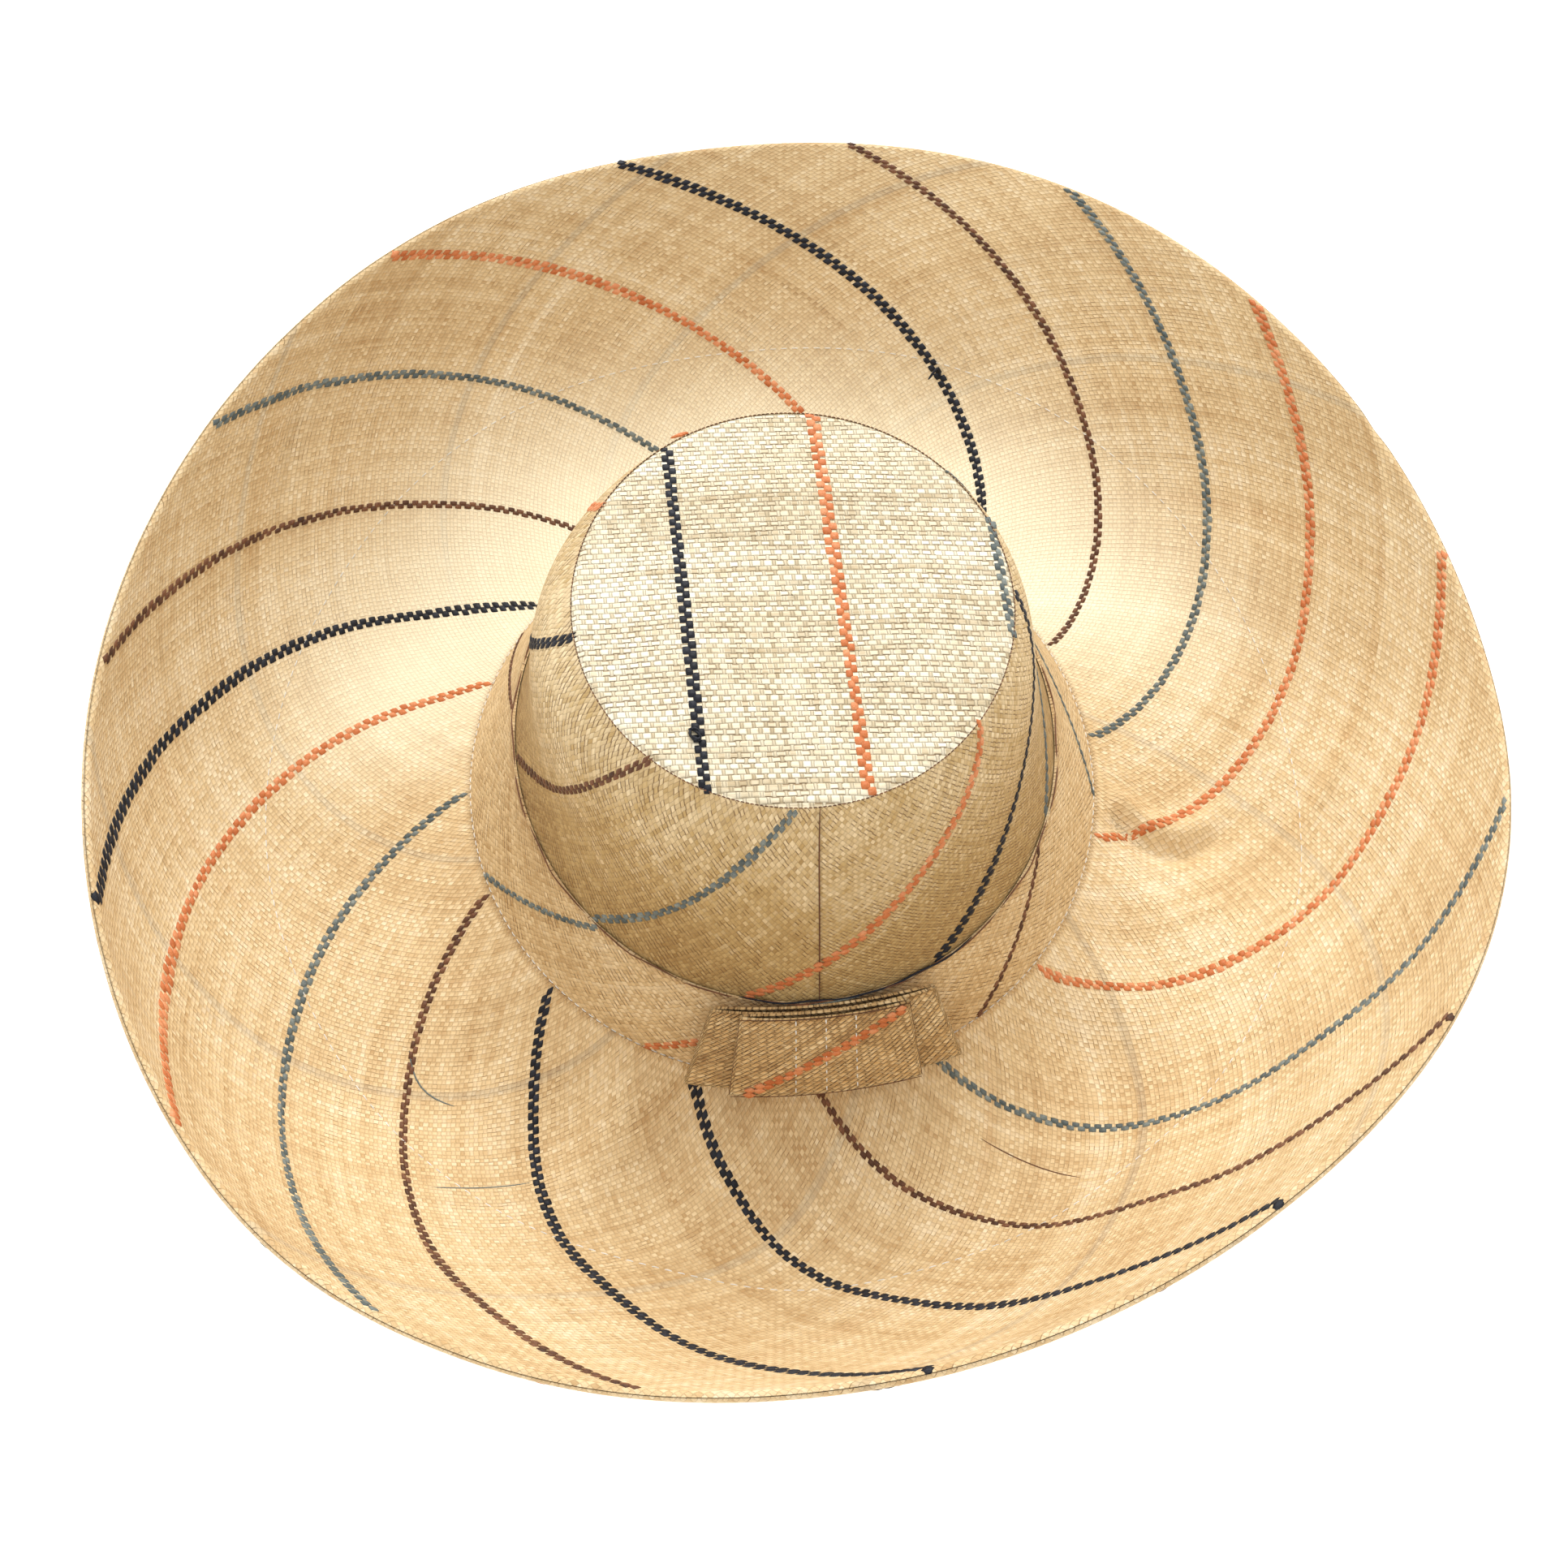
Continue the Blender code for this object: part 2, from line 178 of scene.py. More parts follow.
def tip_rise(radius):
    """Height of the tip's top over its seam, at a share of its radius."""
    fall = np.clip((radius - TIP_FLAT) / (1.0 - TIP_FLAT), 0.0, 1.0)
    return TIP_DOME * 0.5 * (1.0 + np.cos(np.pi * fall))


def on_tip(x, y, lift=0.0):
    """A point on the tip's top, uneven as the cloth is and drawn down at its seam."""
    radius = np.hypot((x - CROWN_LEAN) / TIP_RING[0], y / TIP_RING[1])
    dent = TIP_DENT * np.sin(95.0 * x + 1.0) * np.sin(70.0 * y) * (1.0 - radius ** 2)
    edge = -CLOTH * ramp(radius, 0.965, 0.995)
    return pack(x, y, TIP_TOP + tip_rise(radius) + dent + edge + lift)


def run_and_rise(start, end, share):
    """Where a unit length of cloth is after a share, as its slope goes from start to end."""
    bend = end - start
    bend = np.where(np.abs(bend) < 1e-4, 1e-4, bend)
    here = start + bend * share
    return (np.sin(here) - np.sin(start)) / bend, (np.cos(start) - np.cos(here)) / bend


def brim_frame(angle, share):
    """A point on the brim's middle surface, at a share of the cloth's width."""
    turn = np.mod(angle, 360.0) * len(BRIM_SECTIONS) / 360.0
    first = np.floor(turn).astype(int)
    step = (turn - first)[..., None]
    table = np.array(BRIM_SECTIONS, float)
    a, b, c, d = (table[(first + k) % len(table)] for k in (-1, 0, 1, 2))
    cubic = 2 * a - 5 * b + 4 * c - d + step * (3 * (b - c) + d - a)
    values = b + 0.5 * step * (c - a + step * cubic)
    width = values[..., 0]
    crown, middle, rim = (np.radians(values[..., k]) for k in (1, 2, 3))
    out, rise = run_and_rise(crown, middle, np.minimum(2.0 * share, 1.0))
    far_out, far_rise = run_and_rise(middle, rim, np.maximum(2.0 * share - 1.0, 0.0))
    reach = 0.5 * width * (out + far_out)
    return pack((BRIM_RING[0] + reach) * cos(angle), (BRIM_RING[1] + reach) * sin(angle),
                0.5 * width * (rise + far_rise))


def swirl(share):
    """How far a bias thread is behind its place at the rim."""
    left = 1.0 - share
    return SWIRL * left * (1.0 + SWIRL_BEND * (1.0 - left))


def unswirl(turn):
    """The share of the brim's width at which a bias thread is this far behind."""
    bend = 1.0 + SWIRL_BEND
    under = np.maximum(bend * bend - 4.0 * SWIRL_BEND * np.maximum(turn, -20.0) / SWIRL, 0.0)
    return 1.0 - (bend - np.sqrt(under)) / (2.0 * SWIRL_BEND)


def near(angle, middle):
    """Signed difference of two angles, from -180 to 180."""
    return np.mod(angle - middle + 180.0, 360.0) - 180.0


def brim_relief(angle, share):
    """Ripples, folds and the tuck that the cloth has beyond its smooth sections."""
    hug = ramp(share, 0.0, 0.06)
    lift = 0.0016 * np.sin(np.radians(9.0 * angle + 40.0)) * bell(share, 0.28, 0.18)
    lift += 0.0007 * np.sin(np.radians(14.0 * angle) + 7.0 * share) * bell(share, 0.62, 0.22)
    # gathers beside the bow
    lift += 0.0032 * np.sin(np.radians(22.0 * near(angle, 250.0))) * (
        bell(near(angle, 245.0), 0.0, 18.0) * bell(share, 0.20, 0.15))
    lift += 0.0012 * np.sin(np.radians(20.0 * near(angle, 312.0))) * (
        bell(near(angle, 318.0), 0.0, 22.0) * bell(share, 0.18, 0.14))
    # the tuck at the wearer's left
    fold = near(angle, 349.0 - 6.0 * np.sin(9.0 * share))
    lift += (0.0030 * bell(fold, 2.2, 2.2) - 0.0026 * bell(fold, -1.4, 1.5)) * (
        ramp(share, 0.0, 0.07) * (1.0 - ramp(share, 0.22, 0.36)))
    # a soft fold at the back of the wearer's right, and the kink below it
    lift -= 0.0032 * bell(near(angle, 142.0) + 70.0 * (share - 0.76), 0.0, 4.0) * (
        bell(share, 0.77, 0.14))
    lift -= 0.0014 * bell(near(angle, 172.0), 0.0, 3.0) * bell(share, 0.72, 0.08)
    # the ridge along the seam between the first two panels
    thread = near(angle + swirl(share), PANEL_START - 90.0)
    lift += 0.0014 * bell(thread, 0.0, 1.3) * ramp(share, 0.40, 0.60)
    return lift * hug


def brim_top(share):
    """Half the thickness of the brim's two layers, which roll together at the rim."""
    left = np.clip((RIM_SHARE - share) * BRIM_WIDTH / RIM_RADIUS, 0.0, 1.0)
    return np.maximum(RIM_RADIUS * np.sqrt(1.0 - (1.0 - left) ** 2), 0.00012)


def on_brim(angle, share, lift=0.0):
    """A point on the brim's middle surface, or lift above it."""
    angle, share, lift = np.broadcast_arrays(angle, share, lift)
    around = brim_frame(angle + 0.2, share) - brim_frame(angle - 0.2, share)
    outward = brim_frame(angle, share + 0.004) - brim_frame(angle, share - 0.004)
    normal = unit(np.cross(outward, around))
    return brim_frame(angle, share) + (lift + brim_relief(angle, share))[..., None] * normal


# -------------------------------- threads on the surfaces
def brim_place(side):
    """Where warp u and weft v of the brim's layer meet; side is 1 for the top, -1 under."""
    def place(u, v, lift):
        a, b = u / BRIM_THREADS, v / BRIM_THREADS
        share = unswirl((a - b) / 2.0)
        return on_brim(side * (a + b) / 2.0, share, side * (lift + brim_top(share)))
    return place


def bias(side, share):
    """How far round the crown a bias thread goes from the tip's seam down to a share."""
    down = 1.0 - share
    lean, bend = BIAS[side]
    return down * (lean + bend * down)


def unbias(side, turn):
    """The share of the crown's height at which a bias thread has gone this far round."""
    lean, bend = BIAS[side]
    under = np.maximum(lean * lean + 4.0 * bend * turn, 0.0)
    return 1.0 - (np.sqrt(under) - lean) / (2.0 * bend)


def crown_place(side):
    def place(u, v, lift):
        a, b = u / CROWN_THREADS, v / CROWN_THREADS
        return on_crown((a + b) / 2.0, unbias(side, (a - b) / 2.0), lift)
    return place


def band_place(u, v, lift):
    a, b = u / BAND_THREADS, v / BAND_THREADS
    return on_crown((a + b) / 2.0, (b - a) / (2.0 * BAND_SLANT), lift + CLOTH + GAP)


def tip_place(u, v, lift):
    """Solves x - lean * y = u and y - lean * x = v."""
    p, q = u * TIP_WARP, v * TIP_WEFT
    scale = 1.0 - TIP_WARP_LEAN * TIP_WEFT_LEAN
    return on_tip((p + TIP_WARP_LEAN * q) / scale, (q + TIP_WEFT_LEAN * p) / scale, lift)


def tip_threads(x, y):
    return (x - TIP_WARP_LEAN * y) / TIP_WARP, (y - TIP_WEFT_LEAN * x) / TIP_WEFT


# -------------------------------- meshes
def piece(name, points, faces, look, weave=None, walls=0):
    """A smooth mesh of points in the hat's own frame; its last faces are flat walls."""
    mesh = bpy.data.meshes.new(name)
    flat = np.asarray(points, float).reshape(-1, 3) + ORIGIN
    corners = np.concatenate([np.ravel(f) for f in faces])
    sizes = np.concatenate([np.full(len(f), np.shape(f)[1]) for f in faces])
    mesh.vertices.add(len(flat))
    mesh.vertices.foreach_set("co", flat.ravel())
    mesh.loops.add(len(corners))
    mesh.loops.foreach_set("vertex_index", corners)
    mesh.polygons.add(len(sizes))
    mesh.polygons.foreach_set("loop_start", np.cumsum(sizes) - sizes)
    mesh.polygons.foreach_set("loop_total", sizes)
    mesh.polygons.foreach_set("use_smooth", np.arange(len(sizes)) < len(sizes) - walls)
    mesh.update(calc_edges=True)
    if weave is not None:
        layer = mesh.uv_layers.new(name="WEAVE")
        layer.data.foreach_set("uv", np.asarray(weave, np.float32).ravel())
    mesh.validate()
    mesh.materials.append(LOOKS[look])
    made = bpy.data.objects.new(name, mesh)
    bpy.context.scene.collection.objects.link(made)
    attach(made, "root")
    return made


def quads(index):
    """Four corners for each cell of a grid of vertex numbers."""
    return np.stack([index[:-1, :-1], index[1:, :-1], index[1:, 1:], index[:-1, 1:]],
                    axis=-1).reshape(-1, 4)


def shell(name, outer, inner, weave, look, closed=False):
    """Cloth between two grids of points. A closed one joins its last row to its first."""
    rows, columns = outer.shape[:2]
    count = rows * columns
    index = np.arange(count).reshape(rows, columns)
    cells = np.arange((rows + closed) * columns).reshape(rows + closed, columns)
    if closed:
        index = np.vstack([index, index[:1]])
    faces = [quads(index), quads(index)[:, ::-1] + count]
    corners = [quads(cells), quads(cells)[:, ::-1]]
    for edge, turn in ((0, 1), (-1, -1)):
        strip = np.stack([index[:, edge], index[:, edge] + count], axis=-1)
        uv = np.stack([cells[:, edge]] * 2, axis=-1)
        faces.append(quads(strip)[:, ::turn])
        corners.append(quads(uv)[:, ::turn])
    if not closed:
        for edge, turn in ((0, -1), (-1, 1)):
            strip = np.stack([index[edge], index[edge] + count], axis=-1)
            uv = np.stack([cells[edge]] * 2, axis=-1)
            faces.append(quads(strip)[:, ::turn])
            corners.append(quads(uv)[:, ::turn])
    coords = np.asarray(weave).reshape(-1, 2)[np.concatenate(corners)]
    return piece(name, np.concatenate([outer.reshape(-1, 3), inner.reshape(-1, 3)]),
                 [np.concatenate(faces)], look, coords,
                 walls=sum(len(strip) for strip in faces[2:]))


def pillows(name, grids, look):
    """Many small closed pillows: grids[k, i, j] are the top's points of pillow k."""
    count, rows, columns = grids.shape[:3]
    index = np.arange(rows * columns).reshape(rows, columns)
    border = np.concatenate([index[0, :-1], index[:-1, -1], index[-1, :0:-1], index[:0:-1, 0]])
    shift = (np.arange(count) * rows * columns)[:, None, None]
    tops = (quads(index)[None] + shift).reshape(-1, 4)
    floors = (border[None, None] + shift).reshape(count, -1)
    return piece(name, grids, [tops, floors], look)


PILLOW = np.array([-1.0, -0.84, 0.0, 0.84, 1.0])    # places of a pillow's points, either way
PILLOW_SUNK = 0.00012                 # how far its border dives into the cloth


def floats(place, u, v, wide, long, height, base):
    """Top grids of the stretches where a dyed yarn lies over the cloth, centred at u, v."""
    u, v, wide, long = (np.asarray(x, float)[:, None, None]
                        for x in np.broadcast_arrays(u, v, wide, long))
    p, q = PILLOW[None, :, None], PILLOW[None, None, :]
    dome = (1.0 - p ** 6) * (1.0 - q ** 6)
    narrow = 1.0 - 0.12 * q * q
    return place(u + wide * p * narrow, v + long * q,
                 base + height * dome - PILLOW_SUNK * (dome < 0.01))


def stripe(place, u, ends, width, base, pitch=YARN_PITCH):
    """Two yarns side by side along the thread u, which take turns over the weft."""
    fine = np.linspace(*ends, 500)
    line = place(u, fine, base)
    length = np.cumsum(np.append(0.0, np.linalg.norm(np.diff(line, axis=0), axis=1)))
    v = np.interp(np.arange(0.5 * pitch, length[-1], pitch), length, fine)
    # metres for each thread along the stripe, and square across it
    step = 0.1
    along = (place(u, v + step, base) - place(u, v - step, base)) / (2.0 * step)
    aside = (place(u + step, v, base) - place(u - step, v, base)) / (2.0 * step)
    stretch = np.linalg.norm(along, axis=1)
    spacing = np.linalg.norm(np.cross(along, aside), axis=1) / stretch
    side = np.where(np.arange(len(v)) % 2 == 0, 0.23, -0.23)
    jitter = dice.normal(0.0, 1.0, (4, len(v)))
    swell = 1.0 + np.interp(v, np.linspace(v[0], v[-1], 9), dice.normal(0.0, 0.10, 9))
    thick = swell * width / spacing
    return floats(place, u + thick * (side + 0.03 * jitter[0]), v + 0.05 * jitter[1],
                  thick * (0.37 + 0.02 * jitter[2]),
                  pitch * (YARN_REACH + 0.03 * jitter[3]) / stretch, YARN_HEIGHT, base)


def tubes(name, lines, radius, look):
    """Round threads along lines[k, i] of points, with their ends drawn in."""
    sides = 6
    lines = np.asarray(lines, float)
    count, steps = lines.shape[:2]
    along = unit(np.gradient(lines, axis=1))
    hint = np.where(np.abs(along[..., 2:3]) > 0.9, [[[1.0, 0, 0]]], [[[0, 0, 1.0]]])
    across = unit(np.cross(along, hint))
    other = np.cross(along, across)
    thick = radius * np.sqrt(np.clip(1.0 - np.linspace(-0.96, 0.96, steps) ** 4, 0.02, 1.0))
    turn = np.linspace(0.0, 360.0, sides, endpoint=False)
    ring = (across[:, :, None] * cos(turn)[:, None] + other[:, :, None] * sin(turn)[:, None])
    points = lines[:, :, None] + ring * thick[None, :, None, None]
    index = np.arange(steps * sides).reshape(steps, sides)
    around = np.hstack([index, index[:, :1]])
    shift = (np.arange(count) * steps * sides)[:, None, None]
    walls = (quads(around)[None, :, ::-1] + shift).reshape(-1, 4)
    caps = np.concatenate([(index[0][None, None] + shift).reshape(count, -1),
                           (index[-1][None, None, ::-1] + shift).reshape(count, -1)])
    return piece(name, points, [walls, caps], look)


def stitches(name, path, starts, length, sink, radius, look):
    """Single stitches along path(t, lift): each dives into the cloth at both ends."""
    t = np.linspace(-1.0, 1.0, 7)
    arch = np.sqrt(np.clip(1.0 - np.abs(t) ** 3, 0.0, 1.0))
    lines = [path(start + length * (0.5 + 0.5 * t), radius * 0.6 * arch - sink * (1.0 - arch))
             for start in starts]
    return tubes(name, lines, radius, look)


# -------------------------------- materials
class Look:
    """A material whose nodes are added one call at a time."""

    def __init__(self, name, roughness, sheen=0.0):
        self.made = bpy.data.materials.new(name)
        self.made.use_nodes = True
        self.tree = self.made.node_tree
        self.shader = self.tree.nodes["Principled BSDF"]
        self.shader.inputs["Roughness"].default_value = roughness
        self.shader.inputs["Specular IOR Level"].default_value = 0.28
        self.shader.inputs["Sheen Weight"].default_value = sheen

    def node(self, kind, *values, **settings):
        made = self.tree.nodes.new("ShaderNode" + kind)
        for key, value in settings.items():
            setattr(made, key, value)
        for socket, value in zip(made.inputs, values):
            self.feed(socket, value)
        return made

    def feed(self, socket, value):
        if isinstance(value, bpy.types.NodeSocket):
            self.tree.links.new(value, socket)
        elif value is not None:
            socket.default_value = value

    def math(self, operation, *values):
        return self.node("Math", *values, operation=operation).outputs[0]

    def add(self, a, b):
        return self.math("ADD", a, b)

    def times(self, a, b):
        return self.math("MULTIPLY", a, b)

    def less(self, value):
        return self.math("SUBTRACT", 1.0, value)

    def sway(self, value, weight):
        """How far a value from 0 to 1 is from its middle, times a weight."""
        return self.times(self.add(value, -0.5), weight)

    def blend(self, share, a, b):
        """a where share is 0 and b where it is 1, for numbers."""
        return self.node("Mix", share, None, a, b, data_type="FLOAT").outputs[0]

    def tint(self, share, a, b):
        """The same for colours."""
        made = self.node("Mix", data_type="RGBA")
        for key, value in (("Factor_Float", share), ("A_Color", a), ("B_Color", b)):
            self.feed(next(s for s in made.inputs if s.identifier == key), value)
        return next(s for s in made.outputs if s.identifier == "Result_Color")

    def point(self, x, y, z=0.0):
        return self.node("CombineXYZ", x, y, z).outputs[0]

    def noise(self, point, scale, detail=2.0):
        made = self.node("TexNoise", noise_dimensions="3D")
        for key, value in (("Vector", point), ("Scale", scale), ("Detail", detail)):
            self.feed(made.inputs[key], value)
        return made.outputs["Fac"]

    def dice(self, point):
        """One random number for each whole point."""
        made = self.node("TexWhiteNoise", noise_dimensions="3D")
        self.feed(made.inputs["Vector"], point)
        return made.outputs["Value"]

    def smooth(self, value, low, high):
        """Smooth step from 0 at low to 1 at high, which may be the other way round."""
        made = self.node("MapRange", value, low, high, 0.0, 1.0, interpolation_type="SMOOTHSTEP")
        return made.outputs[0]

    def stops(self, value, *stops):
        """A colour ramp: pairs of place and linear colour."""
        made = self.node("ValToRGB", value)
        elements = made.color_ramp.elements
        while len(elements) < len(stops):
            elements.new(0.5)
        for element, (place, colour) in zip(elements, stops):
            element.position = place
            element.color = (*colour, 1.0)
        return made.outputs["Color"]

    def bump(self, height, distance):
        made = self.node("Bump")
        made.inputs["Distance"].default_value = distance
        made.inputs["Strength"].default_value = 1.0
        self.feed(made.inputs["Height"], height)
        self.feed(self.shader.inputs["Normal"], made.outputs["Normal"])

    def colour(self, value):
        self.feed(self.shader.inputs["Base Color"], value)


def shade(colour, factor):
    """A darker colour, with its alpha."""
    return (*(c * factor for c in colour), 1.0)


def woven(name, dark, base, pale, dashes=0.06, thick=0.62, dash=(0.30, 0.16, 0.06),
          warp_width=0.45, depth=0.00020, spread=1.0, hollow_shade=0.35, notch=0.22, ghosts=(),
          bands=(1.0, 1.0), painted_glow=False, rise=None):
    """Plain-woven raffia: flat ribbons that pass over and under each other.

    dark, base and pale are its tones; spread and bands make them more or less uneven. dashes
    is how many dark slits show outside the middle share, thick, of a weft row, and dash is
    their colour. The warp covers the share warp_width of a float. notch darkens the warp, and
    gaps paints shade into the hollows along the ribbons' edges. ghosts are the stripes of the
    layer below: place, colour and strength. glow paints light on the brim behind the crown as a
    paler tint, and rise paints light and shade on the cloth, darker at its low level and paler
    at its high one.
    """
    look = Look(name, 0.62, sheen=0.05)
    uv = look.node("UVMap", uv_map="WEAVE").outputs[0]
    split = look.node("SeparateXYZ", uv)
    u, v = split.outputs[0], split.outputs[1]
    wander = look.noise(look.point(look.times(u, 0.4), look.times(v, 0.4)), 1.0)
    u = look.add(u, look.sway(wander, 0.5))
    v = look.add(v, look.sway(look.noise(
        look.point(look.times(u, 0.06), look.times(v, 0.3), 4.0), 1.0), 0.9))
    warp, weft = look.math("FLOOR", u), look.math("FLOOR", v)
    # how far this point is from the middle of a weft float (0), towards that of a warp float (1)
    turn = look.math("FLOORED_MODULO", look.add(look.add(u, weft), 0.5), 2.0)
    along = look.math("ABSOLUTE", look.add(turn, -1.0))
    row = look.math("ABSOLUTE", look.add(look.times(look.math("FRACT", v), 2.0), -1.0))
    edge = 1.0 - warp_width
    over = look.smooth(along, edge - 0.05, edge + 0.05)
    aside = look.times(look.less(along), 1.0 / warp_width)
    weft_height = look.times(look.less(look.math("POWER", row, 4.0)), look.less(
        look.times(look.math("POWER", look.times(along, 1.0 / edge), 2.0), 0.45)))
    warp_height = look.times(look.less(look.math("POWER", aside, 3.0)), look.less(
        look.times(look.math("POWER", row, 3.0), 0.5)))
    height = look.blend(over, weft_height, warp_height)
    ident = look.blend(over, look.add(weft, 0.5), warp)
    travel = look.blend(over, u, v)
    sideways = look.blend(over, v, u)
    # tones: one per thread, slow change along it, one per crossing, fine fibres
    lone = look.dice(look.point(ident, 3.7))
    slow = look.noise(look.point(look.times(ident, 5.31), look.times(travel, 0.022)), 1.0)
    fibre = look.noise(look.point(look.times(sideways, 7.0), look.times(travel, 0.35)), 1.0, 3.0)
    block = look.dice(look.point(warp, weft, 1.3))
    tone = look.add(look.sway(lone, 0.16 * spread), 0.5)
    for part, weight in ((slow, 0.65), (fibre, 0.45), (block, 0.28)):
        tone = look.add(tone, look.sway(part, weight * spread))
    # bands of darker and lighter threads in both directions, and soft patches
    for first, second, seed, share in ((u, v, 0.0, bands[0]), (v, u, 9.0, bands[1])):
        for close, far, weight in ((0.085, 0.004, 0.6), (0.31, 0.007, 0.6)):
            band = look.noise(look.point(look.times(first, close), look.times(second, far), seed),
                              1.0)
            tone = look.add(tone, look.sway(band, weight * share))
    place = look.node("NewGeometry").outputs["Position"]
    tone = look.add(tone, look.sway(look.noise(place, 14.0, 3.0), 0.5))
    # Painted light and shade: the tone is darker at rise's low level and paler at its high one,
    # for the light that falls more on the cloth's upper part.
    if rise is not None:
        level = look.node("SeparateXYZ", place).outputs[2]
        tone = look.add(tone, look.sway(look.smooth(level, *rise), 0.60))
    colour = look.stops(tone, (0.02, dark), (0.5, base), (0.98, pale))
    # a few browner threads, painted shade in the ribbons' hollows, and dark dashes between the
    # rows of weft
    rare = look.noise(look.point(look.times(ident, 7.77), look.times(travel, 0.035), 2.0), 1.0)
    colour = look.tint(look.times(look.smooth(rare, 0.60, 0.72), 0.40), colour,
                       shade(dark, 0.75))
    colour = look.tint(look.times(over, notch), colour, shade(dark, 0.9))
    # Painted shade: darker where the ribbons dip into the hollows at their edges.
    hollow_shade_mask = look.smooth(height, 0.55, 0.05)
    colour = look.tint(look.times(hollow_shade_mask, hollow_shade), colour, shade(dark, 0.7))
    pair = look.math("FLOOR", look.times(look.add(u, weft), 0.5))
    chance = look.dice(look.point(pair, weft, 5.9))
    cluster = look.noise(place, 30.0, 2.0)
    slit = look.times(look.smooth(row, thick, 0.92), look.smooth(along, edge + 0.12, edge - 0.1))
    often = look.smooth(look.add(chance, look.sway(cluster, 1.3)), 0.95 - dashes, 1.05 - dashes)
    colour = look.tint(look.times(look.times(slit, often), 0.85), colour, (*dash, 1.0))
    # stripes of the layer below, which show through
    turned = look.math("FLOORED_MODULO", look.times(v, 1.0 / BRIM_THREADS), 360.0)
    for middle, ghost, strength in ghosts:
        off = look.math("ABSOLUTE", look.add(turned, -(middle % 360.0)))
        veil = look.times(look.smooth(off, 1.0, 0.4), strength)
        colour = look.tint(veil, colour, (*ghost, 1.0))
    # Painted light: the brim behind the crown is tinted paler, for light that falls on it and
    # shines through its cloth.
    if painted_glow:
        spot = look.node("VectorMath", place, tuple(ORIGIN), operation="SUBTRACT").outputs[0]
        far = look.node("VectorMath", spot, operation="LENGTH").outputs["Value"]
        behind = look.node("SeparateXYZ", spot).outputs[1]
        share = look.times(look.smooth(far, 0.175, 0.115), look.smooth(behind, 0.0, 0.06))
        colour = look.tint(look.times(share, 0.75), colour, (1.0, 0.90, 0.66, 1.0))
    look.colour(colour)
    look.bump(look.add(height, look.times(fibre, 0.25)), depth)
    return look.made


def dyed(name, dark, base, pale, roughness=0.5):
    """Dyed raffia or thread: fine streaks, flecks, and a tone of its own for each stretch."""
    look = Look(name, roughness, sheen=0.04)
    place = look.node("NewGeometry")
    streak = look.noise(place.outputs["Position"], 2600.0, 3.0)
    fleck = look.noise(place.outputs["Position"], 500.0, 2.0)
    tone = look.add(look.sway(streak, 0.7), look.add(
        look.sway(fleck, 0.6), look.times(place.outputs["Random Per Island"], 0.5)))
    look.colour(look.stops(look.add(tone, 0.25), (0.05, dark), (0.5, base), (0.95, pale)))
    look.bump(streak, 0.00012)
    return look.made


GHOST = {"black": ((0.20, 0.22, 0.22), 0.20), "brown": ((0.36, 0.22, 0.11), 0.10),
         "grey": ((0.30, 0.32, 0.29), 0.18), "orange": ((0.62, 0.30, 0.13), 0.08)}
GHOSTS = [(UNDER_SHIFT - angle, *GHOST[ink]) for panel in BRIM_STRIPES for ink, angle in panel]
LOOKS = {
    "brim": woven("brim raffia", (0.54, 0.33, 0.14), (0.78, 0.57, 0.305), (0.94, 0.78, 0.53),
                  ghosts=GHOSTS, dashes=0.12, painted_glow=True),
    # Darker tones than the brim's: partly the cloth's denser tan, partly painted shade on the
    # crown's side; rise adds painted light up the crown.
    "crown": woven("crown raffia and painted shade", (0.35, 0.200, 0.062), (0.56, 0.375, 0.150), (0.83, 0.65, 0.385),
                   dashes=0.38, dash=(0.12, 0.05, 0.015), hollow_shade=0.45, bands=(0.6, 0.6), thick=0.40,
                   rise=(ORIGIN[2] + 0.010, ORIGIN[2] + 0.085)),
    "band": woven("band raffia", (0.46, 0.27, 0.10), (0.76, 0.55, 0.285), (0.93, 0.75, 0.48),
                  dashes=0.30, dash=(0.16, 0.07, 0.02), hollow_shade=0.45, bands=(0.6, 0.6), thick=0.45),
    "bow": woven("bow raffia", (0.36, 0.20, 0.075), (0.70, 0.46, 0.20), (0.93, 0.71, 0.40),
                 dashes=0.30, dash=(0.12, 0.06, 0.02), warp_width=0.30, hollow_shade=0.8, spread=1.4,
                 depth=0.0005, thick=0.45),
    "tip": woven("tip raffia", (0.52, 0.40, 0.23), (0.87, 0.76, 0.54), (0.98, 0.93, 0.76),
                 dashes=0.32, dash=(0.20, 0.11, 0.04), warp_width=0.30, hollow_shade=0.6, thick=0.40,
                 depth=0.00035, spread=1.4, bands=(0.5, 1.6), notch=0.40),
    "lining": woven("lining raffia", (0.46, 0.30, 0.15), (0.70, 0.52, 0.31),
                    (0.84, 0.70, 0.48), hollow_shade=0.5),
    "black": dyed("black raffia", (0.003, 0.003, 0.006), (0.008, 0.009, 0.015),
                  (0.022, 0.025, 0.036)),
    "brown": dyed("brown raffia", (0.045, 0.017, 0.007), (0.12, 0.045, 0.018),
                  (0.26, 0.11, 0.05)),
    "grey": dyed("grey raffia", (0.055, 0.072, 0.070), (0.12, 0.14, 0.13), (0.28, 0.30, 0.26)),
    "orange": dyed("orange raffia", (0.42, 0.10, 0.02), (0.62, 0.19, 0.06), (0.80, 0.37, 0.18)),
    "thread": dyed("white thread", (0.62, 0.58, 0.50), (0.80, 0.77, 0.70), (0.9, 0.88, 0.84),
                   roughness=0.6)}
SLOTS = dict.fromkeys(("brim", "crown", "band", "bow"), "woven_raffia")
SLOTS.update(tip="pale_raffia", lining="lining_raffia", thread="white_thread",
             **{ink: f"{ink}_raffia" for ink in YARN})


